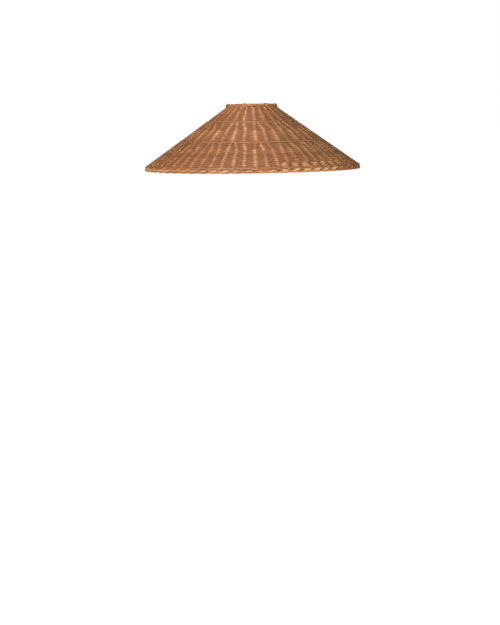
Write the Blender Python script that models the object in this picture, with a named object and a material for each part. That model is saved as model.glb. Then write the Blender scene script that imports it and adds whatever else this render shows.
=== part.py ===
"""Hand-woven rattan lamp shade, a wide cone with an open top, on a wire frame.

Metres, +Z up. The origin is on the shade's axis, in the plane that the rim rests on.

The cone is described in two slant coordinates: `along`, the distance down the slope from the top
of the outer surface, and `depth`, the distance in from that surface, square to it. Stakes run down
the slope at mid depth, weavers run round, and the wire frame lies against the inner surface.
"""

import math

import bmesh
import bpy
from mathutils import Vector

# Outer surface of the cone
TOP_RADIUS = 0.0590
TOP_HEIGHT = 0.1356
SLOPE = math.radians(34.95)  # below horizontal

# Weave
STAKE_DIAMETER = 0.0038
WEAVER_DIAMETER = 0.0030
WEAVE_THICKNESS = STAKE_DIAMETER + 2 * WEAVER_DIAMETER
STAKES_UPPER = 28
STAKES_MIDDLE = 40  # twelve more stakes pushed in at the upper waling
STAKES_LOWER = 60  # twenty more at the lower waling
UPPER_WALING_RADIUS = 0.1000
LOWER_WALING_RADIUS = 0.1610
WALING_WIDTH = 0.0065
WALING_RIDGE = 0.0004  # how far a waling stands out of the weave, inside and outside
LOWER_EDGE_ALONG = 0.2145  # lower end of the weave
POST_TOP_HEIGHT = 0.1374  # where the stakes standing out of the weave meet the top border

# Borders
TOP_BORDER_RADIUS = 0.0520
TOP_BORDER_HALF_WIDTH = 0.0050
TOP_BORDER_HALF_HEIGHT = 0.0033
ROLL_ALONG = 0.2207  # middle of the rolled rim
ROLL_DEPTH = 0.0067
ROLL_HALF_LENGTH = 0.0044  # along the slope
ROLL_HALF_THICKNESS = 0.0037
OPENWORK_END = 0.2163  # bare stakes run from the weave's lower end to here

# Wire frame
WIRE_RADIUS = 0.0020
STRUTS = 6
FIRST_STRUT_ANGLE = math.radians(30)
TOP_RING_HEIGHT = 0.1291
RIM_RING_ALONG = 0.2108

# Fitter, the flat ring that sits on an E27 lampholder, on three dropped arms
FITTER_OUTER_RADIUS = 0.0290
FITTER_HOLE_RADIUS = 0.0215
FITTER_THICKNESS = 0.0020
FITTER_SEAT_HEIGHT = 0.0440
FITTER_ARMS = 3
FIRST_ARM_ANGLE = math.radians(90)
ARM_TOP_RADIUS = 0.0360
ARM_FOOT_RADIUS = 0.0335

# Cane lashings that tie the weave to the frame
LASHING_RADIUS = 0.0005
LASHINGS = 6

GAP = 0.0003  # clearance between pieces that touch
ROUND_EDGE_ANGLE = math.radians(40)

COLOURS = {  # base colour, roughness, metallic
    "rattan_weave": ((0.46, 0.23, 0.10), 0.60, 0.0),
    "rattan_waling": ((0.56, 0.31, 0.15), 0.55, 0.0),
    "rattan_border": ((0.42, 0.20, 0.08), 0.60, 0.0),
    "cane_lashing": ((0.55, 0.33, 0.16), 0.55, 0.0),
    "frame_wire": ((0.16, 0.10, 0.06), 0.45, 0.6),
    "fitter_metal": ((0.16, 0.10, 0.06), 0.40, 0.6),
}


def clear_scene():
    for old in list(bpy.data.objects):
        bpy.data.objects.remove(old, do_unlink=True)


def make_materials():
    materials = {}
    for name, (colour, roughness, metallic) in COLOURS.items():
        material = bpy.data.materials.new(name)
        material.use_nodes = True
        shader = material.node_tree.nodes["Principled BSDF"]
        shader.inputs["Base Color"].default_value = (*colour, 1.0)
        shader.inputs["Roughness"].default_value = roughness
        shader.inputs["Metallic"].default_value = metallic
        materials[name] = material
    return materials


def slant(along, depth):
    """Radius and height of a point of the cone's wall."""
    radius = TOP_RADIUS + along * math.cos(SLOPE) - depth * math.sin(SLOPE)
    height = TOP_HEIGHT - along * math.sin(SLOPE) - depth * math.cos(SLOPE)
    return radius, height


def along_at_radius(radius):
    return (radius - TOP_RADIUS) / math.cos(SLOPE)


def along_at_height(height, depth):
    return (TOP_HEIGHT - height - depth * math.cos(SLOPE)) / math.sin(SLOPE)


def at_angle(point, angle, sideways=0.0):
    """A (radius, height) point turned to an angle, moved sideways round the axis."""
    radius, height = point
    x = radius * math.cos(angle) - sideways * math.sin(angle)
    y = radius * math.sin(angle) + sideways * math.cos(angle)
    return Vector((x, y, height))


def spin_profile(profile, segments):
    """A bmesh ring turned from a closed (radius, height) outline, a corner at angle 0."""
    ring = bmesh.new()
    corners = [ring.verts.new((radius, 0.0, height)) for radius, height in profile]
    edges = [ring.edges.new((a, b)) for a, b in zip(corners, corners[1:] + corners[:1])]
    bmesh.ops.spin(
        ring, geom=edges, cent=(0, 0, 0), axis=(0, 0, 1), angle=math.tau, steps=segments, use_merge=True
    )
    bmesh.ops.recalc_face_normals(ring, faces=ring.faces)
    return ring


def finish_mesh(name, shape, material):
    mesh = bpy.data.meshes.new(name)
    bmesh.ops.recalc_face_normals(shape, faces=shape.faces)
    shape.to_mesh(mesh)
    shape.free()
    mesh.materials.append(material)
    mesh.shade_smooth()
    mesh.set_sharp_from_angle(angle=ROUND_EDGE_ANGLE)
    piece = bpy.data.objects.new(name, mesh)
    bpy.context.scene.collection.objects.link(piece)
    return piece


def turned(name, profile, segments, material):
    return finish_mesh(name, spin_profile(profile, segments), material)


def ellipse(radius, height, half_width, half_height, corners):
    """The outline of a rolled border or a wire."""
    steps = [math.tau * (k + 0.5) / corners for k in range(corners)]
    return [(radius + half_width * math.cos(t), height + half_height * math.sin(t)) for t in steps]


def grow_stake_ends(ring, edge_point, base, tip, count):
    """Extrudes a stake end from every second face of the ring's edge that holds edge_point.

    base and tip are pairs of (radius, height): the stake's outer and inner side at its two ends.
    """
    pitch = math.tau / count
    for index in range(count):
        angle = (index + 0.25) * pitch  # middle of a face: there are two faces to a stake
        target = at_angle(edge_point, angle)
        face = min(ring.faces, key=lambda f: (f.calc_center_median() - target).length)
        for outer, inner in (base, tip):
            face = bmesh.ops.extrude_discrete_faces(ring, faces=[face])["faces"][0]
            for corner in face.verts:
                on_outer_side = corner.co.xy.length > (outer[0] + inner[0]) / 2
                leads = corner.co.y * math.cos(angle) - corner.co.x * math.sin(angle) > 0
                sideways = STAKE_DIAMETER / 2 if leads else -STAKE_DIAMETER / 2
                corner.co = at_angle(outer if on_outer_side else inner, angle, sideways)


def stake_sides(along):
    """Outer and inner side of a stake at a place down the slope."""
    return slant(along, WEAVER_DIAMETER), slant(along, WEAVER_DIAMETER + STAKE_DIAMETER)


def band_profile(start, end, ridge=0.0):
    """Outline of a strip of weave from start to end down the slope, cut square at both ends."""
    return [
        slant(start, -ridge),
        slant(end, -ridge),
        slant(end, WEAVE_THICKNESS + ridge),
        slant(start, WEAVE_THICKNESS + ridge),
    ]


def waling_span(radius):
    middle = along_at_radius(radius)
    return middle - WALING_WIDTH / 2, middle + WALING_WIDTH / 2


def make_upper_panel(material):
    """The panel under the top border, with the stakes that lean up out of it to the border."""
    end = waling_span(UPPER_WALING_RADIUS)[0] - GAP
    ring = spin_profile(band_profile(0.0, end), 2 * STAKES_UPPER)
    outer, inner = TOP_BORDER_RADIUS + STAKE_DIAMETER / 2, TOP_BORDER_RADIUS - STAKE_DIAMETER / 2
    tip = ((outer, POST_TOP_HEIGHT), (inner, POST_TOP_HEIGHT))
    grow_stake_ends(ring, slant(0.0, WEAVE_THICKNESS / 2), stake_sides(0.0), tip, STAKES_UPPER)
    return finish_mesh("woven_panel_upper", ring, material)


def make_panels(material):
    upper_end = waling_span(UPPER_WALING_RADIUS)[1] + GAP
    lower_start, lower_end = waling_span(LOWER_WALING_RADIUS)
    middle = band_profile(upper_end, lower_start - GAP)
    lower = band_profile(lower_end + GAP, LOWER_EDGE_ALONG)
    make_upper_panel(material)
    turned("woven_panel_middle", middle, 2 * STAKES_MIDDLE, material)
    turned("woven_panel_lower", lower, 2 * STAKES_LOWER, material)


def make_walings(material):
    """Bands of thicker strands that lock the added stakes in."""
    upper = band_profile(*waling_span(UPPER_WALING_RADIUS), ridge=WALING_RIDGE)
    lower = band_profile(*waling_span(LOWER_WALING_RADIUS), ridge=WALING_RIDGE)
    turned("waling_upper", upper, 2 * STAKES_MIDDLE, material)
    turned("waling_lower", lower, 2 * STAKES_LOWER, material)


def top_border_height():
    return POST_TOP_HEIGHT + GAP + TOP_BORDER_HALF_HEIGHT


def make_top_border(material):
    profile = ellipse(
        TOP_BORDER_RADIUS, top_border_height(), TOP_BORDER_HALF_WIDTH, TOP_BORDER_HALF_HEIGHT, 8
    )
    turned("top_border", profile, 2 * STAKES_UPPER, material)


def make_rim_border(material):
    """The rolled edge of bent stakes, flat where it rests, with the bare stakes above it."""
    corners = 10
    profile = []
    for k in range(corners):
        turn = math.tau * (k + 0.5) / corners
        along = ROLL_ALONG - ROLL_HALF_LENGTH * math.cos(turn)
        radius, height = slant(along, ROLL_DEPTH - ROLL_HALF_THICKNESS * math.sin(turn))
        profile.append((radius, max(height, 0.0)))
    ring = spin_profile(profile, 2 * STAKES_LOWER)
    top_face = slant(ROLL_ALONG - ROLL_HALF_LENGTH, ROLL_DEPTH)
    tip = stake_sides(LOWER_EDGE_ALONG + GAP)
    grow_stake_ends(ring, top_face, stake_sides(OPENWORK_END), tip, STAKES_LOWER)
    finish_mesh("rim_border", ring, material)


def wire(name, points, radius, material, closed=False):
    """A round wire or strand through a list of points."""
    curve = bpy.data.curves.new(name, "CURVE")
    curve.dimensions = "3D"
    curve.bevel_depth = radius
    curve.bevel_resolution = 2
    curve.use_fill_caps = True
    line = curve.splines.new("POLY")
    line.points.add(len(points) - 1)
    for knot, point in zip(line.points, points):
        knot.co = (*point, 1.0)
    line.use_cyclic_u = closed
    curve.materials.append(material)
    piece = bpy.data.objects.new(name, curve)
    bpy.context.scene.collection.objects.link(piece)
    return piece


def frame_depth():
    """Depth of the frame wires' axes: a lashing just fits between them and the weave."""
    return WEAVE_THICKNESS + 2 * GAP + 2 * LASHING_RADIUS + WIRE_RADIUS


def top_ring_centre():
    depth = frame_depth()
    return slant(along_at_height(TOP_RING_HEIGHT, depth), depth)


def rim_ring_centre():
    return slant(RIM_RING_ALONG, frame_depth())


def make_frame_rings(material):
    for name, centre, segments in (
        ("top_ring", top_ring_centre(), 2 * STAKES_UPPER),
        ("rim_ring", rim_ring_centre(), 2 * STAKES_LOWER),
    ):
        turned(name, ellipse(*centre, WIRE_RADIUS, WIRE_RADIUS, 8), segments, material)


def make_struts(material):
    """Straight wires down the inside of the cone, welded between the two rings."""
    depth = frame_depth()
    start = along_at_height(TOP_RING_HEIGHT, depth) + WIRE_RADIUS + GAP
    end = RIM_RING_ALONG - WIRE_RADIUS - GAP
    for index in range(STRUTS):
        angle = FIRST_STRUT_ANGLE + index * math.tau / STRUTS
        ends = [at_angle(slant(along, depth), angle) for along in (start, end)]
        wire(f"frame_strut_{index + 1}", ends, WIRE_RADIUS, material)


def make_fitter_ring(material):
    top = FITTER_SEAT_HEIGHT + FITTER_THICKNESS
    profile = [
        (FITTER_HOLE_RADIUS, FITTER_SEAT_HEIGHT),
        (FITTER_OUTER_RADIUS, FITTER_SEAT_HEIGHT),
        (FITTER_OUTER_RADIUS, top),
        (FITTER_HOLE_RADIUS, top),
    ]
    turned("fitter_ring", profile, 48, material)


def bend(corner, start, end, length, steps=5):
    """Points of a smooth bend at a corner, between the lines to start and end."""
    corner, start, end = Vector(corner), Vector(start), Vector(end)
    first = corner + (start - corner).normalized() * length
    last = corner + (end - corner).normalized() * length
    points = []
    for step in range(steps + 1):
        t = step / steps
        points.append((1 - t) ** 2 * first + 2 * t * (1 - t) * corner + t * t * last)
    return points


def make_fitter_arms(material):
    """Three wires from the top ring down to the fitter ring, bent at both ends."""
    bend_length = 0.005
    ring_radius, ring_height = top_ring_centre()
    foot_height = FITTER_SEAT_HEIGHT + WIRE_RADIUS  # nothing stands below the seat
    start = (ring_radius - WIRE_RADIUS - GAP, ring_height)
    shoulder = (ARM_TOP_RADIUS, ring_height)
    knee = (ARM_FOOT_RADIUS, foot_height)
    end = (FITTER_OUTER_RADIUS + GAP, foot_height)
    outline = [Vector(start)]
    outline += bend(shoulder, start, knee, bend_length)
    outline += bend(knee, shoulder, end, ARM_FOOT_RADIUS - end[0] - GAP)
    outline.append(Vector(end))
    for index in range(FITTER_ARMS):
        angle = FIRST_ARM_ANGLE + index * math.tau / FITTER_ARMS
        points = [at_angle(point, angle) for point in outline]
        wire(f"fitter_arm_{index + 1}", points, WIRE_RADIUS, material)


def make_rim_lashings(material):
    """Loops through the openwork, each round one bare stake and over the rim ring."""
    reach = WIRE_RADIUS + GAP + LASHING_RADIUS
    beside = STAKE_DIAMETER / 2 + GAP + LASHING_RADIUS
    openwork = (LOWER_EDGE_ALONG + OPENWORK_END) / 2
    front = WEAVER_DIAMETER - GAP - LASHING_RADIUS
    between = frame_depth() - reach
    stakes_per_lashing = STAKES_LOWER // LASHINGS
    route = [  # along, depth and sideways of each corner
        (openwork, frame_depth() - reach, -beside),
        (openwork, front, -beside),
        (openwork, front, beside),
        (openwork, frame_depth() - reach, beside),
    ]
    steps = 9
    for step in range(steps + 1):  # from under the ring to the side by the weave
        turn = math.radians(270) * step / steps
        along = RIM_RING_ALONG + reach * math.cos(turn)
        sideways = beside * (1 - 2 * step / steps)
        route.append((along, frame_depth() + reach * math.sin(turn), sideways))
    for index in range(LASHINGS):
        stake = (index * stakes_per_lashing + 0.25) * math.tau / STAKES_LOWER
        loop = [at_angle(slant(along, depth), stake, sideways) for along, depth, sideways in route]
        wire(f"rim_lashing_{index + 1}", loop, LASHING_RADIUS, material, closed=True)


def arc(centre, half_width, half_height, first, last):
    """Points round a centre from one angle to another, in degrees, at most 20 apart."""
    steps = math.ceil(abs(last - first) / 20)
    turns = [math.radians(first + (last - first) * k / steps) for k in range(steps + 1)]
    return [
        (centre[0] + half_width * math.cos(t), centre[1] + half_height * math.sin(t)) for t in turns
    ]


def make_top_lashings(material):
    """Upright loops round the top border and the top ring, through the slot between two stakes."""
    clear = GAP + LASHING_RADIUS
    border = (TOP_BORDER_RADIUS, top_border_height())
    half_width, half_height = TOP_BORDER_HALF_WIDTH + clear, TOP_BORDER_HALF_HEIGHT + clear
    over_border = arc(border, half_width, half_height, 180, -10)
    under_ring = arc(top_ring_centre(), WIRE_RADIUS + clear, WIRE_RADIUS + clear, -50, -190)
    slot = (over_border[-1][0], TOP_HEIGHT + clear)
    for index in range(LASHINGS):
        gap_index = round(index * STAKES_UPPER / LASHINGS)
        angle = (gap_index + 0.75) * math.tau / STAKES_UPPER
        loop = [at_angle(point, angle) for point in [*over_border, slot, *under_ring]]
        wire(f"top_lashing_{index + 1}", loop, LASHING_RADIUS, material, closed=True)


def main():
    clear_scene()
    materials = make_materials()
    make_panels(materials["rattan_weave"])
    make_walings(materials["rattan_waling"])
    make_top_border(materials["rattan_border"])
    make_rim_border(materials["rattan_border"])
    make_frame_rings(materials["frame_wire"])
    make_struts(materials["frame_wire"])
    make_fitter_ring(materials["fitter_metal"])
    make_fitter_arms(materials["fitter_metal"])
    make_rim_lashings(materials["cane_lashing"])
    make_top_lashings(materials["cane_lashing"])


main()
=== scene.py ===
"""The looks of a hand-woven rattan lamp shade, strand by strand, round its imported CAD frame.

Metres, +Z up. A place on the cone's wall has three numbers: an angle round the axis, `along`, the
distance down the slope from the top of the outer surface, and `depth`, the distance in from it.
Every strand is a real tube that runs over and under the others.
"""

import math

import bmesh
import bpy
import numpy as np
from mathutils import Matrix, Vector


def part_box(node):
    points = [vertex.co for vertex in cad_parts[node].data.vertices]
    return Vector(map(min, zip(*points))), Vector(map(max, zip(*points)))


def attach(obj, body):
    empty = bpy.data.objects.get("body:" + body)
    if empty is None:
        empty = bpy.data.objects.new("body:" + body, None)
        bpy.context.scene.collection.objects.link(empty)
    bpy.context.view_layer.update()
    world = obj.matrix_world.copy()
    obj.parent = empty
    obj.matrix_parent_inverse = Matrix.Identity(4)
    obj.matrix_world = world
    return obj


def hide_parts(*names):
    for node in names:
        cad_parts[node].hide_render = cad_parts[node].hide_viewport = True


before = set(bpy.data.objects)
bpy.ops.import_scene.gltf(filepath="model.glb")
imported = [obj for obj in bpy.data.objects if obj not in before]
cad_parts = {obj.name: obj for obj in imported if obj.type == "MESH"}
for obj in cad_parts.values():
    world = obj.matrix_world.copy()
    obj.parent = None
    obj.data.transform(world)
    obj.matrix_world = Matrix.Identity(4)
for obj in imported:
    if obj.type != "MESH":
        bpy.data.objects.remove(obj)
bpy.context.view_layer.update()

RANDOM = np.random.default_rng(7)
ROUND_SIDES = 8
WAVES = 5  # sines in an uneven line that runs round the shade

# Strands of rattan core
STAKE_RADIUS = 0.0019
WEAVER_RADIUS = 0.0015
WEAVE_THICKNESS = 2 * STAKE_RADIUS + 4 * WEAVER_RADIUS  # of the CAD's woven panels
ROW_PITCH = 0.00305
BEND = 0.90  # 1 would bend a weaver sharply over each stake, with straight runs between
FLATTENING = 0.82  # how much wider and thinner a weaver is pressed where it bends
BITE = 0.0007  # how deep the weavers are pressed into the stakes
# How far the weavers leave the stakes' line, and how deep that line lies in the wall
SWING = STAKE_RADIUS + WEAVER_RADIUS / (1 + FLATTENING) - BITE
STAKE_DEPTH = SWING + WEAVER_RADIUS
PACKING = 1.06  # the rows are beaten so close that they press into each other
BAND_SHARPNESS = 7  # a higher power keeps the paler stretches, partly rubbed stain and partly painted sheen, closer to the stakes
STRAND_LENGTH = 2.6  # a weaver's length before the next one is joined on
TENSION_SPREAD = 0.05  # of the swing, from one stake to the next
SLIP_SPREAD = 0.00006  # how far a row lies off its line, from one stake to the next
SIZE_SPREAD = 0.02  # of a weaver's radius, from one row to the next
LEAN = (3, 0.0009)  # the rows' rise and fall round the shade: most waves in a turn, and size

# Shades of the strands, 0 for the darkest and 1 for the lightest: middle and spread
WEAVER_TONES = (0.5, 0.27)
WEAVER_LENGTHS = 400  # more lengths than a weaver needs for all its rows
STAKE_TONES = (0.5, 0.2)
WALE_TONES = (0.35, 0.25, 0.5)  # one for each strand
CANE_TONES = (0.3, 0.7)  # lowest and highest

# Places of a weaver's points from one stake to the next, closer together where it bends
STEP_SHARES = np.array([0.0, 0.06, 0.14, 0.26, 0.5, 0.74, 0.86, 0.94])
STEPS_PER_STAKE = len(STEP_SHARES)

# The bands of the weave, and the stakes in each as the CAD's posts have them
PANELS = ("woven_panel_upper", "woven_panel_middle", "woven_panel_lower")
STAKE_COUNTS = (28, 40, 60)
STAKE_OFFSET = 0.25  # of a spacing, from the +X axis
STAKE_UNEVENNESS = (0.03, 0.04, 0.03)  # of a spacing
STAKE_STEP = 0.003  # between the points of a stake
STAKE_OVERLAP = 0.008  # how far an added stake is pushed in above its waling
FAN_LENGTH = 0.030  # distance in which added stakes spread out evenly
NEW_STAKE_SHARE = 0.34  # where an added stake starts, in the gap that it goes into

# Walings
WALE_HALF_WIDTH = 0.0015
WALE_RADIUS = 0.00155
WALE_REACH = WALE_HALF_WIDTH + WALE_RADIUS
WALE_GAP = 0.8  # of a weaver's radius, between a waling and the middle of the nearest row
WALE_CLEAR = WALE_REACH + WALE_GAP * WEAVER_RADIUS
WALE_CREST = 0.35  # the walings get less of the pale crest tint, partly rubbed stain and partly painted sheen
CAD_WALE_HALF_WIDTH = 0.00325
CAD_WALE_RIDGE = 0.0004

# The rim's rows
RIM_WALE_DROP = 0.0031  # the lowest waling hangs down to the rolled rim
RIM_ROWS = 5  # rows above the lowest waling that share the rim's gloss
LAST_ROW_GAP = 0.6  # of a weaver's radius, between the lowest waling and the row below it

# A stretch of the rim with painted glints: pale highlights painted between the stakes
GLINT_MIDDLE = math.radians(-56)
GLINT_HALF = math.radians(21)
GLINT_FADE = math.radians(3)
GLINT_CREST = 1.5  # paler than the crests of the other rows, a painted highlight
GLINT_WIDTH = 1.6  # a higher value brings the painted glints closer to the stakes

# Borders: each stake's end goes round a roll while it runs on to the left
BORDER_STEPS = 10  # points to a stake's spacing
BORDER_SIDES = 10
CURVE_STEPS = 3  # to each stretch between two points of a strand's route
ROLL_LEAD = 0.3  # of a spacing, from a stake's line to the roll's first point
RIM_ROLL = (0.0029, 0.0018)  # half sizes of the roll's core along the slope and square to it
RIM_ROLL_START = math.radians(32)
RIM_ROLL_TURN = math.radians(118)  # turn round the roll in one stake's spacing
RIM_ROLL_SPACINGS = 2.7
RIM_ROLL_FACE = math.radians(80)
RIM_BEND_ROOM = 0.0024  # left free for the bend from the bare stake into the roll
RIM_TAPER = 0.94  # of the stake's radius, at its end
BARE_CREST = 0.8  # of the bare stakes just above the roll
TOP_STRAND_RADIUS = 0.0017
TOP_ROLL_START = math.radians(-62)
TOP_ROLL_TURN = math.radians(98)
TOP_ROLL_SPACINGS = 3.1
TOP_ROLL_FACE = math.radians(10)
TOP_CREST = 0.5  # the top border gets less of the pale crest tint, partly rubbed stain and partly painted sheen
TOP_UNEVENNESS = (4, 0.0005)  # the lip's rise and fall: most waves in a turn, and size
LIP_STRAIGHT = (0.001, -0.004)  # the straight stretch of the stakes under the lip
POST_RISE = 0.0018  # how far the stakes stand above the weave's top edge
TOP_BORDER_FLATNESS = 3.3 / 5.0  # height over width
FIRST_ROW = -0.0055  # the highest row, on the stakes' upright ends

# Cane lashings
LASHINGS = 6
CANE_HALF_WIDTH = 0.0009
CANE_HALF_THICKNESS = 0.00045
CANE_FLATNESS = CANE_HALF_THICKNESS / CANE_HALF_WIDTH
CANE_GAP = 0.0001
CANE_CREST = 0.4
RIM_TURNS = 2
RIM_ARC = math.radians(270)  # behind and under the rim ring
RIM_ARC_STEPS = 9
TOP_TURNS = 4
TOP_TURN_PITCH = 0.0017
OVER_BORDER = (180, -10)  # degrees, from inside over the top border and down outside
UNDER_RING = (-50, -190)  # degrees, under the top ring and up inside
ARC_STEP = math.radians(20)
COIL_STEPS = 2  # to each stretch between two points of the coil

# Wire frame
WIRE_RADIUS = 0.0020
WIRE_SIDES = 16
WIRE_TONE = 0.5
RING_STEPS = 144
STRUTS = 6
STRUT_POINTS = 12
FIRST_STRUT_ANGLE = math.radians(30)
ARMS = 3
FIRST_ARM_ANGLE = math.radians(90)
ARM_SHOULDER_RADIUS = 0.0360
ARM_KNEE_RADIUS = 0.0335
ARM_BEND = 0.005
ARM_FOOT_INSET = WIRE_RADIUS / 2  # how far the arm runs on over the fitter plate
BEND_STEPS = 8
WELD_BULGE = 0.0007
WELD_LENGTH = 0.0022
FITTER_HOLE_RADIUS = 0.0215
FITTER_EDGE = 0.0005
FITTER_EDGE_STEPS = 3


# ---------------------------------------------------------------- the cone, from the CAD


def read_cone():
    """Slope and top of the outer surface, from the boxes of the woven bands."""
    middle_low, middle_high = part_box("woven_panel_middle")
    lower_low, lower_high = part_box("woven_panel_lower")
    slope = math.atan2(middle_low.z - lower_low.z, lower_high.x - middle_high.x)
    outer_height = middle_low.z + WEAVE_THICKNESS * math.cos(slope)
    top_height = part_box("woven_panel_upper")[1].z - POST_RISE
    top_radius = middle_high.x - (top_height - outer_height) / math.tan(slope)
    return slope, top_radius, top_height


SLOPE, TOP_RADIUS, TOP_HEIGHT = read_cone()
DOWN = np.array([math.cos(SLOPE), -math.sin(SLOPE)])  # radius and height of one metre down
OUT = np.array([math.sin(SLOPE), math.cos(SLOPE)])


def read_top_border():
    """Centre, half width and half height of the top border's outline."""
    lowest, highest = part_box("top_border")
    half_height = (highest.z - lowest.z) / 2
    half_width = half_height / TOP_BORDER_FLATNESS
    centre = np.array([highest.x - half_width, (lowest.z + highest.z) / 2])
    return centre, half_width, half_height


def read_lip():
    """Where the stakes leave the slope, and the directions up and out of their upright ends."""
    centre, _, half_height = read_top_border()
    start = np.array([TOP_RADIUS, TOP_HEIGHT]) - STAKE_DEPTH * OUT
    rise = centre - (0, half_height) - start
    up = rise / np.linalg.norm(rise)
    return start, up, np.array([up[1], -up[0]])


LIP_START, LIP_UP, LIP_OUT = read_lip()


def section(along, depth):
    """Radius and height of places on the wall, which stands up steeper where along is below 0."""
    along, depth = np.broadcast_arrays(along, depth)
    along, depth = along[..., None], depth[..., None]
    slope = np.array([TOP_RADIUS, TOP_HEIGHT]) + along * DOWN - depth * OUT
    lip = LIP_START - along * LIP_UP + (STAKE_DEPTH - depth) * LIP_OUT
    place = np.where(along < 0, lip, slope)
    return place[..., 0], place[..., 1]


def to_space(angle, radius, height):
    """Points in space, one to a row."""
    angle, radius, height = np.broadcast_arrays(angle, radius, height)
    return np.stack([radius * np.cos(angle), radius * np.sin(angle), height], axis=1)


def outward(angle):
    """The wall's outward normal at each angle."""
    up = np.full_like(angle, OUT[1])
    return np.stack([OUT[0] * np.cos(angle), OUT[0] * np.sin(angle), up], axis=1)


def along_of(radius):
    """The along of a place on the outer surface with this radius."""
    return (radius - TOP_RADIUS) / DOWN[0]


def waling_middle(node):
    """The along of a waling's middle, from the CAD node's box."""
    lower_edge = along_of(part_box(node)[1].x - CAD_WALE_RIDGE * OUT[0])
    return lower_edge - CAD_WALE_HALF_WIDTH


UPPER_WALE = waling_middle("waling_upper")
LOWER_WALE = waling_middle("waling_lower")
RIM_WALE = along_of(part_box("woven_panel_lower")[1].x) - WALE_REACH + RIM_WALE_DROP


# ---------------------------------------------------------------- tubes


def smooth_path(points, steps):
    """A Catmull-Rom curve through points, with steps points to each stretch."""
    points = np.asarray(points, float)
    padded = np.concatenate([2 * points[:1] - points[1:2], points, 2 * points[-1:] - points[-2:-1]])
    before, start, end, after = padded[:-3], padded[1:-2], padded[2:-1], padded[3:]
    share = (np.arange(steps) / steps)[None, :, None]
    before, start, end, after = (corner[:, None, :] for corner in (before, start, end, after))
    curve = 0.5 * (
        2 * start
        + (end - before) * share
        + (2 * before - 5 * start + 4 * end - after) * share**2
        + (3 * start - before - 3 * end + after) * share**3
    )
    return np.concatenate([curve.reshape(-1, points.shape[1]), points[-1:]])


def add_piece(name, mesh, material, slot, *nodes):
    """A piece of the visual on the one body, in place of the CAD nodes named."""
    mesh.shade_smooth()
    mesh.materials.append(material)
    piece = bpy.data.objects.new(name, mesh)
    bpy.context.scene.collection.objects.link(piece)
    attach(piece, "root")
    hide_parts(*nodes)


# Each strand takes its grain from another place in the noise
GRAIN_SHIFT_ALONG, GRAIN_RANGE_ALONG = 1.7, 20
GRAIN_SHIFT_ACROSS, GRAIN_RANGE_ACROSS = 0.37, 50


class Strands:
    """Collects strands and makes one mesh object of them.

    Three attributes go to the material: tone is a strand's own shade, crest says how pale the
    strand is painted, 1 where it stands out most, partly rubbed stain and partly painted sheen,
    and GLINT_CREST in the painted glints at the rim, and grain runs along the strand's fibres.
    """

    def __init__(self, name):
        self.name = name
        self.points = []
        self.faces = []
        self.tones = []
        self.crests = []
        self.grains = []
        self.count = 0
        self.total = 0

    def add(self, path, facing, radius, tone, closed=False, sides=ROUND_SIDES, crest=0.5, flat=1.0):
        """A tube along path; facing is a direction near square to the path at each point.

        flat is the tube's thickness along facing, as a share of its width.
        """
        path = np.asarray(path, float)
        number = len(path)
        radius = np.broadcast_to(np.asarray(radius, float), (number,))
        tone = np.broadcast_to(np.asarray(tone, float), (number,))
        crest = np.broadcast_to(np.asarray(crest, float), (number,))
        flat = np.broadcast_to(np.asarray(flat, float), (number,))
        if closed:
            ahead = np.roll(path, -1, axis=0) - np.roll(path, 1, axis=0)
        else:
            ahead = np.gradient(path, axis=0)
        ahead /= np.linalg.norm(ahead, axis=1, keepdims=True)
        side = np.cross(ahead, facing)
        side /= np.linalg.norm(side, axis=1, keepdims=True)
        up = np.cross(side, ahead)
        turn = math.tau * np.arange(sides) / sides
        over = (radius * flat)[:, None] * np.cos(turn)[None, :]
        across = radius[:, None] * np.sin(turn)[None, :]
        ring = path[:, None, :] + over[..., None] * up[:, None, :]
        ring += across[..., None] * side[:, None, :]
        steps = np.linalg.norm(np.diff(path, axis=0), axis=1)
        run = np.concatenate([[0.0], np.cumsum(steps)])
        grain = np.empty((number, sides, 3))
        grain[..., 0] = run[:, None] + self.count * GRAIN_SHIFT_ALONG % GRAIN_RANGE_ALONG
        grain[..., 1] = over + self.count * GRAIN_SHIFT_ACROSS % GRAIN_RANGE_ACROSS
        grain[..., 2] = across
        index = self.total + np.arange(number * sides).reshape(number, sides)
        after = np.roll(index, -1, axis=0) if closed else index[1:]
        before = index if closed else index[:-1]
        corners = [before, np.roll(before, -1, axis=1), np.roll(after, -1, axis=1), after]
        self.faces.extend(np.stack(corners, axis=-1).reshape(-1, 4).tolist())
        if not closed:
            self.faces.append(index[0][::-1].tolist())
            self.faces.append(index[-1].tolist())
        self.points.append(ring.reshape(-1, 3))
        self.tones.append(np.repeat(tone, sides))
        self.crests.append(np.repeat(crest, sides))
        self.grains.append(grain.reshape(-1, 3))
        self.total += number * sides
        self.count += 1

    def build(self, material, slot, *nodes):
        """Makes the piece, which stands for the CAD nodes named."""
        mesh = bpy.data.meshes.new(self.name)
        mesh.from_pydata(np.concatenate(self.points).tolist(), [], self.faces)
        for name, values in (("tone", self.tones), ("crest", self.crests)):
            attribute = mesh.attributes.new(name, "FLOAT", "POINT")
            attribute.data.foreach_set("value", np.concatenate(values).astype(np.float32))
        grain = mesh.attributes.new("grain", "FLOAT_VECTOR", "POINT")
        grain.data.foreach_set("vector", np.concatenate(self.grains).astype(np.float32).ravel())
        add_piece(self.name, mesh, material, slot, *nodes)


def wobble(waves, size):
    """A smooth random function of the angle, the same after a full turn."""
    cycles = RANDOM.integers(1, waves + 1, WAVES)
    phases = RANDOM.uniform(0, math.tau, WAVES)
    sizes = RANDOM.normal(0, size / math.sqrt(WAVES), WAVES)
    sines = list(zip(cycles, phases, sizes))
    return lambda angle: sum(
        height * np.sin(cycle * angle + phase) for cycle, phase, height in sines
    )


# ---------------------------------------------------------------- where the stakes are


def ease(share):
    """From 0 to 1 with a soft start and end."""
    share = np.clip(share, 0.0, 1.0)
    return share * share * (3 - 2 * share)


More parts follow.
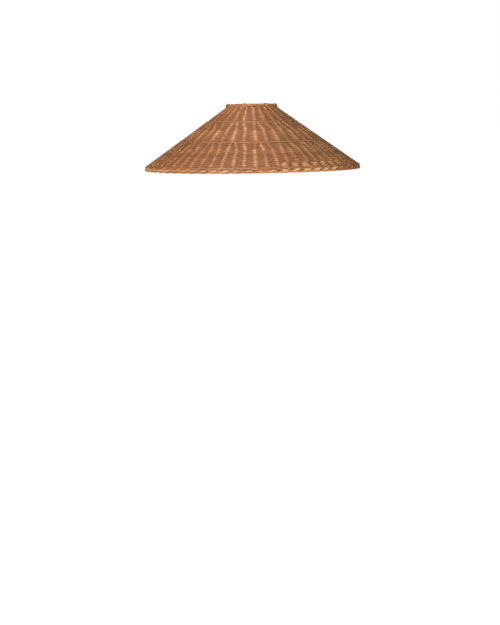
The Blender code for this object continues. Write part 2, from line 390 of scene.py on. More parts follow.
def even_angles(count, unevenness):
    """Stakes at nearly even spacings round the axis."""
    spacing = math.tau / count
    return (np.arange(count) + STAKE_OFFSET + RANDOM.normal(0, unevenness, count)) * spacing


def carried_slots(before, after):
    """For each stake of the band above, its place among the stakes of the band below."""
    return np.floor((np.arange(before) + 0.5) * after / before).astype(int)


class Stakes:
    """Angles of all stakes at any place down the slope."""

    def __init__(self):
        self.even = [even_angles(*band) for band in zip(STAKE_COUNTS, STAKE_UNEVENNESS)]
        self.slots = [carried_slots(*STAKE_COUNTS[:2]), carried_slots(*STAKE_COUNTS[1:])]

    def spread(self, band, along, wale):
        """Angles in a lower band, where stakes added at the waling fan out."""
        above, below, slots = self.even[band - 1], self.even[band], self.slots[band - 1]
        start = np.empty(len(below))
        start[slots] = above
        for new in sorted(set(range(len(below))) - set(slots.tolist())):
            left = start[new - 1] if new else start[-1] - math.tau
            right = start[new + 1] if new + 1 < len(below) else start[0] + math.tau
            start[new] = left + NEW_STAKE_SHARE * (right - left)
        return start + (below - start) * ease((along - wale) / FAN_LENGTH)

    def angles(self, band, along):
        """Angles of a band's stakes at one place down the slope."""
        if band == 0:
            return self.even[0]
        return self.spread(band, along, UPPER_WALE if band == 1 else LOWER_WALE)


STAKES = Stakes()


# ---------------------------------------------------------------- weaving


JOIN_OFFSET = 0.4  # of a length, between the joins of the two weavers


class Tones:
    """A colour value for each joined length of weaver, for two weavers that take turns."""

    def __init__(self, middle, spread):
        self.values = np.clip(RANDOM.normal(middle, spread, (2, WEAVER_LENGTHS)), 0, 1)
        self.run = [0.0, JOIN_OFFSET * STRAND_LENGTH]

    def along_row(self, weaver, angle, radius):
        """The tone at each angle of the weaver's next row."""
        share = (angle - angle[0]) / math.tau
        place = self.run[weaver] + share * math.tau * radius
        self.run[weaver] += math.tau * radius
        return self.values[weaver][(place / STRAND_LENGTH).astype(int)]


def row_angles(stakes):
    """Angles of a weaver's points, STEPS_PER_STAKE from each stake to the next."""
    after = np.append(stakes[1:], stakes[0] + math.tau)
    return (stakes[:, None] + (after - stakes)[:, None] * STEP_SHARES[None, :]).ravel()


def bend_over(share):
    """A weaver's place through the wall, 1 over the stake at share 0 and -1 behind the next."""
    return np.arcsin(BEND * np.cos(math.pi * share)) / math.asin(BEND)


def painted_glint(angle):
    """How strongly the painted glints show at each angle, from 0 to 1."""
    distance = np.abs((angle - GLINT_MIDDLE + math.pi) % math.tau - math.pi)
    return ease((GLINT_HALF - distance) / GLINT_FADE)


def weave_rows(strands, band, alongs, first_row, tones, lean, glint_rows):
    """Rows of plain weave, each over and under the stakes in turn.

    glint_rows is 1 for rows that take the painted glints at the rim, and 0 for the others.
    """
    for row, along in enumerate(alongs, first_row):
        stakes = STAKES.angles(band, along)
        angle = row_angles(stakes)
        signs = np.where((np.arange(len(stakes)) + row) % 2 == 0, 1.0, -1.0)
        pull = (1 + RANDOM.normal(0, TENSION_SPREAD, len(stakes)))[:, None]
        tension = (1 - STEP_SHARES) * pull + STEP_SHARES * np.roll(pull, -1)
        swing = (signs[:, None] * tension * bend_over(STEP_SHARES)).ravel()
        slip = RANDOM.normal(0, SLIP_SPREAD, len(stakes)).repeat(STEPS_PER_STAKE)
        radius, height = section(along + (lean(angle) + slip), STAKE_DEPTH - SWING * swing)
        tone = tones.along_row(row % 2, angle, radius.mean())
        size = WEAVER_RADIUS * (PACKING + RANDOM.normal(0, SIZE_SPREAD))
        widening = 1 + FLATTENING * np.abs(swing)
        # Paler where the weaver stands out over a stake: partly rubbed stain, partly painted sheen
        crest = np.clip(np.abs(swing), 0, 1) ** BAND_SHARPNESS
        # Painted glints: pale highlights painted between the stakes in the stretch at the rim
        glint = glint_rows * painted_glint(angle)
        between = np.clip(GLINT_WIDTH * (1 - np.abs(swing)), 0, 1)
        tone = tone + glint * (between - tone)
        crest = crest + glint * (GLINT_CREST * between - crest)
        path = to_space(angle, radius, height)
        strands.add(
            path,
            outward(angle),
            size * widening,
            tone,
            closed=True,
            crest=crest,
            flat=1 / widening,
        )


def wale(strands, stakes, along, lean):
    """Three strands, each over two stakes and behind one, a stake apart.

    Where the stakes can't be shared out in threes, the three are one strand that goes round
    three times.
    """
    count = len(stakes)
    loops = 3 if count % 3 == 0 else 1
    turns = 3 // loops
    around = row_angles(stakes)
    per_turn = count * STEPS_PER_STAKE
    for loop in range(loops):
        steps = np.arange(per_turn * turns)
        angle = around[steps % per_turn] + math.tau * (steps // per_turn)
        place = (steps // STEPS_PER_STAKE + STEP_SHARES[steps % STEPS_PER_STAKE] + loop) % 3
        inside = np.where(place < 1, place, np.where(place > 2, 3 - place, 1.0))
        swing = -np.cos(math.pi * inside)
        rising = np.where(place > 2.5, (3 - place) / 0.5, place - 1.5)
        across = np.where(place < 0.5, -place / 0.5, rising)
        along_here = along + WALE_HALF_WIDTH * across + lean(angle)
        radius, height = section(along_here, STAKE_DEPTH - SWING * swing)
        path = to_space(angle, radius, height)
        crest = WALE_CREST * np.clip(swing, 0, 1)
        strands.add(path, outward(angle), WALE_RADIUS, WALE_TONES[loop], closed=True, crest=crest)


# ---------------------------------------------------------------- materials


class Nodes:
    """Short hand for a material's node tree."""

    def __init__(self, name):
        self.material = bpy.data.materials.new(name)
        self.material.use_nodes = True
        self.tree = self.material.node_tree
        self.shader = self.tree.nodes["Principled BSDF"]

    def add(self, kind, **settings):
        node = self.tree.nodes.new(kind)
        for key, value in settings.items():
            setattr(node, key, value)
        return node

    def link(self, source, target):
        self.tree.links.new(source, target)

    def attribute(self, name):
        return self.add("ShaderNodeAttribute", attribute_name=name)

    def object_place(self):
        return self.add("ShaderNodeTexCoord").outputs["Object"]

    def noise(self, vector, scale, detail, rough=0.55):
        node = self.add("ShaderNodeTexNoise")
        node.inputs["Scale"].default_value = scale
        node.inputs["Detail"].default_value = detail
        node.inputs["Roughness"].default_value = rough
        self.link(vector, node.inputs["Vector"])
        return node.outputs["Fac"]

    def stretch(self, vector, scale):
        """The vector scaled along each of its axes."""
        node = self.add("ShaderNodeMapping")
        node.inputs["Scale"].default_value = scale
        self.link(vector, node.inputs["Vector"])
        return node.outputs["Vector"]

    def ramp(self, value, stops):
        """A colour for the value; stops are pairs of a place and a colour."""
        node = self.add("ShaderNodeValToRGB")
        ramp = node.color_ramp
        while len(ramp.elements) < len(stops):
            ramp.elements.new(0.5)
        for element, (place, colour) in zip(ramp.elements, stops):
            element.position = place
            element.color = (*colour, 1.0)
        self.link(value, node.inputs["Fac"])
        return node.outputs["Color"]

    def span(self, value, low, high, to_low, to_high):
        """Maps the values from low to high to the values from to_low to to_high."""
        node = self.add("ShaderNodeMapRange")
        ends = {"From Min": low, "From Max": high, "To Min": to_low, "To Max": to_high}
        for name, number in ends.items():
            node.inputs[name].default_value = number
        self.link(value, node.inputs["Value"])
        return node.outputs["Result"]

    def times(self, colour, factor):
        """The colour multiplied by a factor, or by another colour."""
        node = self.add("ShaderNodeMix", data_type="RGBA", blend_type="MULTIPLY")
        node.inputs["Factor"].default_value = 1.0
        self.link(colour, node.inputs["A"])
        self.link(factor, node.inputs["B"])
        return node.outputs["Result"]

    def bump(self, height, distance, strength):
        """Gives the shader the fine relief of height, distance deep."""
        node = self.add("ShaderNodeBump")
        node.inputs["Distance"].default_value = distance
        node.inputs["Strength"].default_value = strength
        self.link(height, node.inputs["Height"])
        self.link(node.outputs["Normal"], self.shader.inputs["Normal"])


# Noise in the rattan: its scale to a metre, and how dark and how light it makes the colour
FIBRE_SCALE, FIBRE_SHADES = (60, 1500, 1500), (0.84, 1.12)
PATCH_SCALE, PATCH_SHADES = (25, 60, 60), (0.86, 1.14)
STAIN_SCALE, STAIN_SHADES = 16.0, (0.93, 1.06)
HUE_SCALE, HUE_TINTS = 9.0, ((0.35, (1.03, 0.97, 0.95)), (0.65, (0.98, 1.03, 1.01)))
FIBRE_GLOSS = (1.10, 0.90)
FIBRE_RELIEF = 0.00012
RATTAN_SPECULAR = 0.6
WEAVE_GLOSS = (0.80, 0.46)  # roughness of recessed and of outstanding stretches of a strand
RIM_GLOSS = (0.70, 0.42)  # the same where varnish has gathered at the rim
CANE_GLOSS = (0.60, 0.50)

DARK = (0.260, 0.088, 0.019)
MIDDLE = (0.338, 0.121, 0.029)
LIGHT = (0.420, 0.161, 0.044)
PALE = (0.512, 0.220, 0.070)
STAIN_AND_SHADE_TINT = (0.75, 0.60, 0.18)  # partly stain that stays darker where a strand lies back between the stakes, partly painted shade
RUB_AND_SHEEN_TINT = (1.32, 1.66, 2.25)  # paler and whiter where it stands out: partly rubbed stain, partly painted sheen
GLINT_TINT = (1.32, 1.95, 3.5)  # palest in the painted glints at the rim, which are painted highlights


def rattan(name, dark, middle, light, roughness=WEAVE_GLOSS):
    """Stained, lightly varnished rattan: a tone for each strand, fibres along it, mottling, and
    painted sheen and shade that follow the crest attribute.
    """
    nodes = Nodes(name)
    tone = nodes.attribute("tone").outputs["Fac"]
    crest = nodes.attribute("crest").outputs["Fac"]
    grain = nodes.attribute("grain").outputs["Vector"]
    place = nodes.object_place()
    colour = nodes.ramp(tone, ((0.0, dark), (0.5, middle), (1.0, light)))
    fibre = nodes.noise(nodes.stretch(grain, FIBRE_SCALE), 1.0, 4.0, 0.65)
    patch = nodes.noise(nodes.stretch(grain, PATCH_SCALE), 1.0, 2.0)
    stain = nodes.noise(place, STAIN_SCALE, 3.0)
    hue = nodes.noise(place, HUE_SCALE, 2.0)
    colour = nodes.times(colour, nodes.span(fibre, 0.3, 0.7, *FIBRE_SHADES))
    colour = nodes.times(colour, nodes.span(patch, 0.3, 0.7, *PATCH_SHADES))
    colour = nodes.times(colour, nodes.span(stain, 0.35, 0.65, *STAIN_SHADES))
    # Paler and whiter where a strand stands out, darker where it lies back: partly stain, partly
    # painted sheen and shade; palest in the painted glints
    paleness = nodes.span(crest, 0.0, GLINT_CREST, 0.0, 1.0)
    stops = ((0.0, STAIN_AND_SHADE_TINT), (1 / GLINT_CREST, RUB_AND_SHEEN_TINT), (1.0, GLINT_TINT))
    colour = nodes.times(colour, nodes.ramp(paleness, stops))
    colour = nodes.times(colour, nodes.ramp(hue, HUE_TINTS))
    nodes.link(colour, nodes.shader.inputs["Base Color"])
    dull = nodes.span(crest, 0.0, 1.0, *roughness)
    rough = nodes.times(dull, nodes.span(fibre, 0.3, 0.7, *FIBRE_GLOSS))
    nodes.link(rough, nodes.shader.inputs["Roughness"])
    nodes.shader.inputs["Specular IOR Level"].default_value = RATTAN_SPECULAR
    nodes.bump(fibre, FIBRE_RELIEF, 0.5)
    return nodes.material


COATING_DARK = (0.030, 0.018, 0.011)
COATING_LIGHT = (0.055, 0.034, 0.021)
COATING_GLOSS = (0.34, 0.52)
COATING_RELIEF = 0.00005


def coated_wire(name):
    """Dark brown coated steel, with a slight orange peel and dull patches."""
    nodes = Nodes(name)
    place = nodes.object_place()
    mottle = nodes.noise(place, 60.0, 4.0)
    peel = nodes.noise(place, 900.0, 2.0)
    colour = nodes.ramp(mottle, ((0.3, COATING_DARK), (0.7, COATING_LIGHT)))
    nodes.link(colour, nodes.shader.inputs["Base Color"])
    nodes.link(nodes.span(mottle, 0.3, 0.7, *COATING_GLOSS), nodes.shader.inputs["Roughness"])
    nodes.bump(peel, COATING_RELIEF, 0.3)
    return nodes.material


def floor_material():
    """A pale matt floor that glows a little, so that it is as bright as the studio round it."""
    nodes = Nodes("pale_floor")
    for name, value in (
        ("Base Color", (0.45, 0.45, 0.45, 1.0)),
        ("Emission Color", (1.0, 1.0, 1.0, 1.0)),
        ("Emission Strength", 0.72),
        ("Roughness", 0.9),
        ("Specular IOR Level", 0.1),
    ):
        nodes.shader.inputs[name].default_value = value
    return nodes.material


# ---------------------------------------------------------------- the woven wall


def rows_between(first, last):
    """Places of evenly spaced rows from first to last."""
    return np.linspace(first, last, 1 + round((last - first) / ROW_PITCH))


def make_weave(lean):
    """All rows of plain weave, in pieces that each count as one material and one CAD panel."""
    plain = rattan("rattan_weavers", DARK, MIDDLE, LIGHT)
    glossy = rattan("rattan_rim_rows", DARK, MIDDLE, LIGHT, RIM_GLOSS)
    tones = Tones(*WEAVER_TONES)
    rim_rows = RIM_WALE - WALE_CLEAR - RIM_ROWS * ROW_PITCH
    split = (LOWER_WALE + WALE_CLEAR + rim_rows) / 2
    last_row = RIM_WALE + WALE_REACH + LAST_ROW_GAP * WEAVER_RADIUS
    pieces = (
        ("weave_upper", 0, FIRST_ROW, UPPER_WALE - WALE_CLEAR, False),
        ("weave_middle", 1, UPPER_WALE + WALE_CLEAR, LOWER_WALE - WALE_CLEAR, False),
        ("weave_lower_1", 2, LOWER_WALE + WALE_CLEAR, split - ROW_PITCH, False),
        ("weave_lower_2", 2, split, rim_rows, False),
        ("weave_rim_rows", 2, rim_rows + ROW_PITCH, RIM_WALE - WALE_CLEAR, True),
        ("weave_last_row", 2, last_row, last_row, True),
    )
    row = 0
    for name, band, first, last, at_rim in pieces:
        strands = Strands(name)
        alongs = rows_between(first, last)
        weave_rows(strands, band, alongs, row, tones, lean, float(at_rim))
        row += len(alongs)
        strands.build(glossy if at_rim else plain, "rattan_weave", PANELS[band])


def make_walings(lean):
    """The two walings between the bands, and the lowest one just above the rim."""
    plain = rattan("rattan_walings", DARK, MIDDLE, LIGHT)
    glossy = rattan("rattan_rim_waling", DARK, MIDDLE, LIGHT, RIM_GLOSS)
    for name, node, band, along, look in (
        ("waling_strands_upper", "waling_upper", 0, UPPER_WALE, plain),
        ("waling_strands_lower", "waling_lower", 1, LOWER_WALE, plain),
        ("waling_strands_rim", "woven_panel_lower", 2, RIM_WALE, glossy),
    ):
        strands = Strands(name)
        wale(strands, STAKES.angles(band, along), along, lean)
        strands.build(look, "rattan_waling", node)


def stake_line(band, index, start, end):
    """The along and the angle of a stake's points inside one band."""
    steps = max(2, math.ceil((end - start) / STAKE_STEP))
    along = np.linspace(start, end, steps + 1)
    angle = np.array([STAKES.angles(band, a)[index] for a in along])
    return along, angle


def make_stakes(tones):
    """The stakes under the weave, band by band, with those added at each waling."""
    strands = Strands("stakes")
    stops = (FIRST_ROW, UPPER_WALE, LOWER_WALE, RIM_WALE)
    for band in range(len(PANELS)):
        carried = set(STAKES.slots[band - 1].tolist()) if band else set()
        for index in range(STAKE_COUNTS[band]):
            start = stops[band]
            if band and index not in carried:
                start -= STAKE_OVERLAP
            along, angle = stake_line(band, index, start, stops[band + 1])
            path = to_space(angle, *section(along, STAKE_DEPTH))
            # Stakes take the paler colours and the full crest tint: a painted sheen where they show
            # between the weavers
            strands.add(path, outward(angle), STAKE_RADIUS, tones[band][index], crest=1.0)
    strands.build(rattan("rattan_stakes", MIDDLE, LIGHT, PALE), "rattan_weave", *PANELS)


# ---------------------------------------------------------------- borders


def roll_path(angle, spacing, centre, halves, axes, start, turn, spacings, face):
    """Angle, radius, height and crest of a strand that goes round a roll while it runs on.

    halves and axes are the half sizes and directions of the roll's core, as (radius, height), and
    face is the turn at which the strand is seen best, where it is painted palest, partly rubbed
    stain and partly painted sheen.
    """
    steps = math.ceil(BORDER_STEPS * spacings)
    place = np.linspace(ROLL_LEAD, spacings, steps)
    round_roll = start + turn * place
    crest = np.clip(np.cos(round_roll - face), 0, 1) ** 2
    first = halves[0] * np.cos(round_roll)[:, None] * axes[0][None, :]
    second = halves[1] * np.sin(round_roll)[:, None] * axes[1][None, :]
    position = centre[None, :] + first + second
    return np.column_stack([angle - spacing * place, position, crest])


def reach_of(halves, axes, direction):
    """How far the roll's core reaches in one of the two directions, radius or height."""
    return math.hypot(halves[0] * axes[0][direction], halves[1] * axes[1][direction])


def make_rim_border(tones):
    """The stakes' lower ends, bent to the left and wound into a rolled edge."""
    strands = Strands("rim_border_strands")
    axes = (-DOWN, OUT)
    lowest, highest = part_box("rim_border")
    centre = np.array(
        [
            highest.x - reach_of(RIM_ROLL, axes, 0) - STAKE_RADIUS,
            lowest.z + reach_of(RIM_ROLL, axes, 1) + STAKE_RADIUS,
        ]
    )
    spacing = math.tau / STAKE_COUNTS[2]
    stakes = STAKES.angles(2, RIM_WALE)
    last_straight = along_of(centre[0] + STAKE_DEPTH * OUT[0]) - RIM_ROLL[0] - RIM_BEND_ROOM
    ends = (RIM_WALE, last_straight)
    for index, angle in enumerate(stakes):
        straight = [(angle, *section(along, STAKE_DEPTH), BARE_CREST) for along in ends]
        roll = roll_path(
            angle,
            spacing,
            centre,
            RIM_ROLL,
            axes,
            RIM_ROLL_START,
            RIM_ROLL_TURN,
            RIM_ROLL_SPACINGS,
            RIM_ROLL_FACE,
        )
        route = smooth_path(np.concatenate([straight, roll]), CURVE_STEPS)
        path = to_space(*route.T[:3])
        radius = STAKE_RADIUS * np.linspace(1.0, RIM_TAPER, len(route))
        # In the stretch of painted glints the border strands are painted pale, as highlights
        tone = tones[-1][index] + painted_glint(angle) * (1 - tones[-1][index])
        crest = np.clip(route[:, 3], 0, 1) * (1 + painted_glint(angle) * (GLINT_CREST - 1))
        facing = outward(route[:, 0])
        strands.add(path, facing, radius, tone, sides=BORDER_SIDES, crest=crest)
    material = rattan("rattan_rim", MIDDLE, LIGHT, PALE, RIM_GLOSS)
    strands.build(material, "rattan_border", "rim_border")


def make_top_border(tones):
    """The stakes' upper ends, bent to the left and wound into the lip of the open top."""
    strands = Strands("top_border_strands")
    axes = (np.array([1.0, 0.0]), np.array([0.0, 1.0]))
    centre, half_width, half_height = read_top_border()
    halves = (half_width - TOP_STRAND_RADIUS, half_height - TOP_STRAND_RADIUS)
    spacing = math.tau / STAKE_COUNTS[0]
    uneven = wobble(*TOP_UNEVENNESS)
    for index, angle in enumerate(STAKES.angles(0, 0.0)):
        straight = [(angle, *section(along, STAKE_DEPTH), TOP_CREST) for along in LIP_STRAIGHT]
        roll = roll_path(
            angle,
            spacing,
            centre,
            halves,
            axes,
            TOP_ROLL_START,
            TOP_ROLL_TURN,
            TOP_ROLL_SPACINGS,
            TOP_ROLL_FACE,
        )
        roll[:, 2] += uneven(roll[:, 0])
        route = smooth_path(np.concatenate([straight, roll]), CURVE_STEPS)
        radius = np.linspace(STAKE_RADIUS, TOP_STRAND_RADIUS, len(route))
        path = to_space(*route.T[:3])
        crest = TOP_CREST * np.clip(route[:, 3], 0, 1)
        facing = outward(route[:, 0])
        strands.add(path, facing, radius, tones[0][index], sides=BORDER_SIDES, crest=crest)
    strands.build(rattan("rattan_top", DARK, MIDDLE, LIGHT), "rattan_border", "top_border")


# ---------------------------------------------------------------- wire frame and lashings


def ring_centre(node):
    """Radius and height of a wire ring's centre line."""
    lowest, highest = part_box(node)
    return np.array([highest.x - WIRE_RADIUS, (lowest.z + highest.z) / 2])


def wall_place(radius, height):
    """The along and depth of a place."""
    offset = np.array([radius - TOP_RADIUS, height - TOP_HEIGHT])
    return offset @ DOWN, -offset @ OUT


def spokes(first, count):
    """Evenly spaced angles round the axis."""
    return first + math.tau * np.arange(count) / count


def wire_ring(name, node, weld_angles, material):
    """A round wire ring, slightly thicker where another wire is welded to it."""
    radius, height = ring_centre(node)
    angle = math.tau * np.arange(RING_STEPS) / RING_STEPS
    bulge = np.zeros(RING_STEPS)
    for weld in weld_angles:
        distance = radius * np.abs((angle - weld + math.pi) % math.tau - math.pi)
        bulge += WELD_BULGE * np.exp(-((distance / WELD_LENGTH) ** 2))
    ring = Strands(name)
    path = to_space(angle, radius, height)
    ring.add(path, outward(angle), WIRE_RADIUS + bulge, WIRE_TONE, closed=True, sides=WIRE_SIDES)
    ring.build(material, "frame_wire", node)


def bend(corner, start, end, length):
    """Points of a smooth bend at a corner, between the lines to start and end."""
    corner, start, end = (np.asarray(point, float) for point in (corner, start, end))
    first = corner + (start - corner) / np.linalg.norm(start - corner) * length
    last = corner + (end - corner) / np.linalg.norm(end - corner) * length
    share = (np.arange(BEND_STEPS + 1) / BEND_STEPS)[:, None]
    return (1 - share) ** 2 * first + 2 * share * (1 - share) * corner + share**2 * last


def make_struts(angles, upper, lower, material):
    """Straight wires from the top ring to the rim ring."""
    line = np.linspace(upper, lower, STRUT_POINTS)
    for index, angle in enumerate(angles, 1):
        strut = Strands(f"strut_wire_{index}")
        facing = outward(np.full(len(line), angle))
        path = to_space(angle, *line.T)
        strut.add(path, facing, WIRE_RADIUS, WIRE_TONE, sides=WIRE_SIDES)
        strut.build(material, "frame_wire", f"frame_strut_{index}")


def arm_outline(upper):
    """Radius and height of an arm: in from the top ring, down, and in over the fitter plate."""
    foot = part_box("fitter_arm_1")[0]
    foot_height = foot.z + WIRE_RADIUS
    shoulder = (ARM_SHOULDER_RADIUS, upper[1])
    knee = (ARM_KNEE_RADIUS, foot_height)
    foot_end = (foot.y - ARM_FOOT_INSET, foot_height)
    knee_bend = ARM_KNEE_RADIUS - foot.y - CANE_GAP
    return np.concatenate(
        [
            [upper],
            bend(shoulder, upper, knee, ARM_BEND),
            bend(knee, shoulder, foot_end, knee_bend),
            [foot_end],
        ]
    )


def make_arms(angles, upper, material):
    """The bent wires that carry the fitter plate."""
    outline = arm_outline(upper)
    for index, angle in enumerate(angles, 1):
        arm = Strands(f"arm_wire_{index}")
        across = np.array([-math.sin(angle), math.cos(angle), 0.0])
        facing = np.broadcast_to(across, (len(outline), 3))
        path = to_space(angle, *outline.T)
        arm.add(path, facing, WIRE_RADIUS, WIRE_TONE, sides=WIRE_SIDES)
        arm.build(material, "frame_wire", f"fitter_arm_{index}")


def make_wire_frame():
    """The welded frame inside the shade: two rings, the struts and the arms."""
    material = coated_wire("coated_wire")
    strut_angles = spokes(FIRST_STRUT_ANGLE, STRUTS)
    arm_angles = spokes(FIRST_ARM_ANGLE, ARMS)
    wire_ring("top_ring_wire", "top_ring", [*strut_angles, *arm_angles], material)
    wire_ring("rim_ring_wire", "rim_ring", strut_angles, material)
    upper, lower = ring_centre("top_ring"), ring_centre("rim_ring")
    make_struts(strut_angles, upper, lower, material)
    make_arms(arm_angles, upper, material)


def fitter_outline():
    """Radius and height of the fitter plate's section, with rounded corners."""
    lowest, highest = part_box("fitter_ring")
    corners = (  # radius, height, the directions inwards, and the first degrees of the rounding
        (FITTER_HOLE_RADIUS, lowest.z, 1, 1, 180),
        (highest.x, lowest.z, -1, 1, 270),
        (highest.x, highest.z, -1, -1, 0),
        (FITTER_HOLE_RADIUS, highest.z, 1, -1, 90),
    )
    outline = []
    for radius, height, inwards, upwards, first in corners:
        middle_radius = radius + inwards * FITTER_EDGE
        middle_height = height + upwards * FITTER_EDGE
        for step in range(FITTER_EDGE_STEPS + 1):
            turn = math.radians(first + 90 * step / FITTER_EDGE_STEPS)
            across, up = FITTER_EDGE * math.cos(turn), FITTER_EDGE * math.sin(turn)
            outline.append((middle_radius + across, middle_height + up))
    return outline


def make_fitter():
    """The flat pressed ring that sits on the lampholder, with rounded edges."""
    outline = fitter_outline()
    shape = bmesh.new()
    points = [shape.verts.new((radius, 0.0, height)) for radius, height in outline]
    edges = [shape.edges.new(pair) for pair in zip(points, points[1:] + points[:1])]
    bmesh.ops.spin(
        shape,
        geom=edges,
        cent=(0, 0, 0),
        axis=(0, 0, 1),
        angle=math.tau,
        steps=RING_STEPS,
        use_merge=True,
    )
    bmesh.ops.recalc_face_normals(shape, faces=shape.faces)
    mesh = bpy.data.meshes.new("fitter_plate")
    shape.to_mesh(mesh)
    shape.free()
    add_piece("fitter_plate", mesh, coated_wire("coated_fitter"), "fitter_metal", "fitter_ring")


def add_cane(strands, path, middle):
    """A flat strip of cane, lying flat on what the path goes round."""
    tone = RANDOM.uniform(*CANE_TONES)
    facing = path - middle
    strands.add(path, facing, CANE_HALF_WIDTH, tone, crest=CANE_CREST, flat=CANE_FLATNESS)


def round_stake(layer, beside, openwork, behind):
    """Along, depth and sideways places of a turn of cane that passes in front of a stake."""
    front = STAKE_DEPTH - STAKE_RADIUS - CANE_HALF_THICKNESS - layer
    shoulder = front + 2 * CANE_HALF_THICKNESS
    return [
        (openwork, behind, -beside),
        (openwork, shoulder, -beside),
        (openwork, front, 0.0),
        (openwork, shoulder, beside),
        (openwork, behind, beside),
    ]


def round_rim_ring(layer, beside, ring_along, ring_depth):
    """The turn's way round the rim ring, back to the side where it began."""
    lowest = WIRE_RADIUS + CANE_HALF_THICKNESS
    reach = lowest + layer
    places = []
    for step in range(RIM_ARC_STEPS + 1):
        share = step / RIM_ARC_STEPS
        angle = RIM_ARC * share
        sideways = beside * (1 - 2 * share)
        # In the last third it comes down onto the wire
        nearer = reach + (lowest - reach) * max(0.0, 3 * share - 2)
        along = ring_along + nearer * math.cos(angle)
        places.append((along, ring_depth + nearer * math.sin(angle), sideways))
    return places


def make_rim_lashings(material):
    """Turns of cane round one stake, through the openings beside it, and round the rim ring."""
    ring_along, ring_depth = wall_place(*ring_centre("rim_ring"))
    openwork = RIM_WALE + WALE_REACH
    behind = ring_depth - WIRE_RADIUS - CANE_HALF_THICKNESS
    for index in range(LASHINGS):
        stake = STAKES.angles(2, RIM_WALE)[index * STAKE_COUNTS[2] // LASHINGS]
        strands = Strands(f"rim_binding_{index + 1}")
        for turn in range(RIM_TURNS):
            layer = turn * 2 * CANE_HALF_THICKNESS
            beside = STAKE_RADIUS + CANE_GAP + CANE_HALF_THICKNESS + layer
            route = round_stake(layer, beside, openwork, behind)
            route += round_rim_ring(layer, beside, ring_along, ring_depth)
            along, depth, sideways = smooth_path([*route, route[0]], CURVE_STEPS).T
            radius, height = section(along, depth)
            path = to_space(stake + sideways / radius, radius, height)
            add_cane(strands, path, path.mean(axis=0))
        strands.build(material, "cane_lashing", f"rim_lashing_{index + 1}")


def arc(centre, half_width, half_height, first, last):
    """Points round a centre from one angle to another, in degrees."""
    first, last = math.radians(first), math.radians(last)
    turns = np.linspace(first, last, 1 + math.ceil(abs(last - first) / ARC_STEP))
    radius = centre[0] + half_width * np.cos(turns)
    height = centre[1] + half_height * np.sin(turns)
    return np.column_stack([radius, height])


def make_top_lashings(material):
    """A coil of cane round the top border and the top ring, in the slot between two stakes."""
    centre, half_width, half_height = read_top_border()
    clear = CANE_GAP + CANE_HALF_THICKNESS
    over = arc(centre, half_width + clear, half_height + clear, *OVER_BORDER)
    reach = WIRE_RADIUS + clear
    under = arc(ring_centre("top_ring"), reach, reach, *UNDER_RING)
    slot = [[over[-1][0], centre[1] - half_height - clear]]
    turn = np.concatenate([over, slot, under])
    outline = np.concatenate([turn] * TOP_TURNS + [turn[:1]])
    progress = np.arange(len(outline)) / len(turn) - TOP_TURNS / 2
    for index in range(LASHINGS):
        stake = round(index * STAKE_COUNTS[0] / LASHINGS)
        angle = STAKES.even[0][stake] + math.pi / STAKE_COUNTS[0]
        route = smooth_path(np.column_stack([progress * TOP_TURN_PITCH, outline]), COIL_STEPS)
        path = to_space(angle + route[:, 0] / centre[0], route[:, 1], route[:, 2])
        middle = to_space(angle + route[:, 0] / centre[0], *turn.mean(axis=0))
        strands = Strands(f"top_binding_{index + 1}")
        add_cane(strands, path, middle)
        strands.build(material, "cane_lashing", f"top_lashing_{index + 1}")


# ---------------------------------------------------------------- studio


FLOOR_REACH = 30.0
FLOOR_CORNERS = ((-1, -1), (1, -1), (1, 1), (-1, 1))


def make_floor():
    """A plain pale floor, which isn't mirrored in the varnish."""
    mesh = bpy.data.meshes.new("floor")
    corners = [(x * FLOOR_REACH, y * FLOOR_REACH, 0) for x, y in FLOOR_CORNERS]
    mesh.from_pydata(corners, [], [(0, 1, 2, 3)])
    mesh.materials.append(floor_material())
    floor = bpy.data.objects.new("floor", mesh)
    bpy.context.scene.collection.objects.link(floor)
    floor.visible_glossy = False


SKY_SEEN = 1.0  # the white studio behind the shade
SKY_LIGHT = 0.40  # and how much of it lights the shade
SUNS = (  # direction towards the light, strength, spread, and True if it is only mirrored
    ("key", (-0.36, -0.93, 0.06), 4.7, math.radians(22), False),
    ("key_sheen", (-0.30, -0.95, 0.06), 14.0, math.radians(32), True),
    ("window", (0.90, -0.42, 0.15), 0.8, math.radians(70), False),
    ("window_sheen", (0.81, -0.59, 0.15), 1.2, math.radians(50), True),
    ("back", (0.10, 0.93, 0.35), 2.0, math.radians(30), False),
)


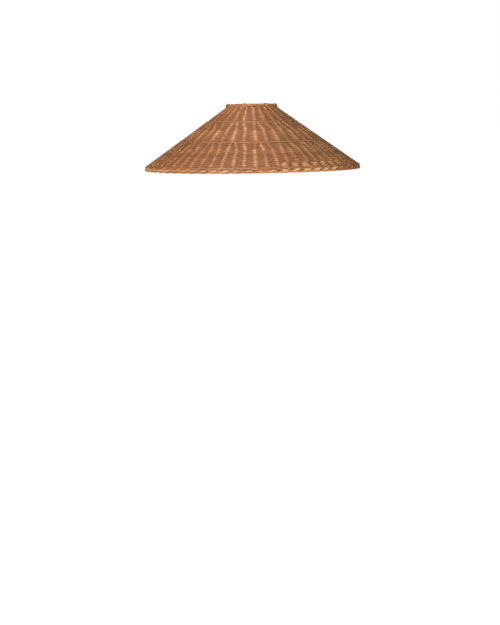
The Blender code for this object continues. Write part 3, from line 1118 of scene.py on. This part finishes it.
def make_world():
    """A white studio, which lights the shade less than it is seen."""
    world = bpy.data.worlds.new("studio")
    world.use_nodes = True
    tree = world.node_tree
    sky = tree.nodes["Background"]
    sky.inputs["Color"].default_value = (1, 1, 1, 1)
    ray = tree.nodes.new("ShaderNodeLightPath")
    brightness = tree.nodes.new("ShaderNodeMapRange")
    brightness.inputs["To Min"].default_value = SKY_LIGHT
    brightness.inputs["To Max"].default_value = SKY_SEEN
    tree.links.new(ray.outputs["Is Camera Ray"], brightness.inputs["Value"])
    tree.links.new(brightness.outputs["Result"], sky.inputs["Strength"])
    bpy.context.scene.world = world
    world.cycles_visibility.glossy = False


def make_suns():
    """Broad, far lights: some are only mirrored, as the sheen, and some only light the surface."""
    for name, direction, strength, spread, mirrored in SUNS:
        data = bpy.data.lights.new(name, "SUN")
        data.energy = strength
        data.angle = spread
        light = bpy.data.objects.new(name, data)
        light.rotation_euler = (-Vector(direction)).to_track_quat("-Z", "Y").to_euler()
        light.visible_glossy = mirrored
        light.visible_diffuse = not mirrored
        bpy.context.scene.collection.objects.link(light)


CAMERA_PLACE = (-0.0105, -2.685, 0.098)
CAMERA_LENS = 68.7
CAMERA_SENSOR = 36.0
CAMERA_PITCH = math.radians(8.93)  # below the horizon
CAMERA_ROLL = math.radians(-0.88)


def make_camera():
    """A camera in front of the shade, looking slightly down."""
    data = bpy.data.cameras.new("camera")
    data.sensor_width = CAMERA_SENSOR
    data.lens = CAMERA_LENS
    camera = bpy.data.objects.new("camera", data)
    pitch = Matrix.Rotation(math.pi / 2 - CAMERA_PITCH, 4, "X")
    roll = Matrix.Rotation(CAMERA_ROLL, 4, "Z")
    camera.matrix_world = Matrix.Translation(CAMERA_PLACE) @ (pitch @ roll)
    bpy.context.scene.collection.objects.link(camera)
    bpy.context.scene.camera = camera


def main():
    lean = wobble(*LEAN)
    stake_tones = [np.clip(RANDOM.normal(*STAKE_TONES, count), 0, 1) for count in STAKE_COUNTS]
    make_weave(lean)
    make_walings(lean)
    make_stakes(stake_tones)
    make_rim_border(stake_tones)
    make_top_border(stake_tones)
    cane = rattan("stained_cane", DARK, MIDDLE, LIGHT, CANE_GLOSS)
    make_rim_lashings(cane)
    make_top_lashings(cane)
    make_wire_frame()
    make_fitter()
    make_floor()
    make_world()
    make_suns()
    make_camera()
    bpy.context.scene.view_settings.view_transform = "Standard"


main()
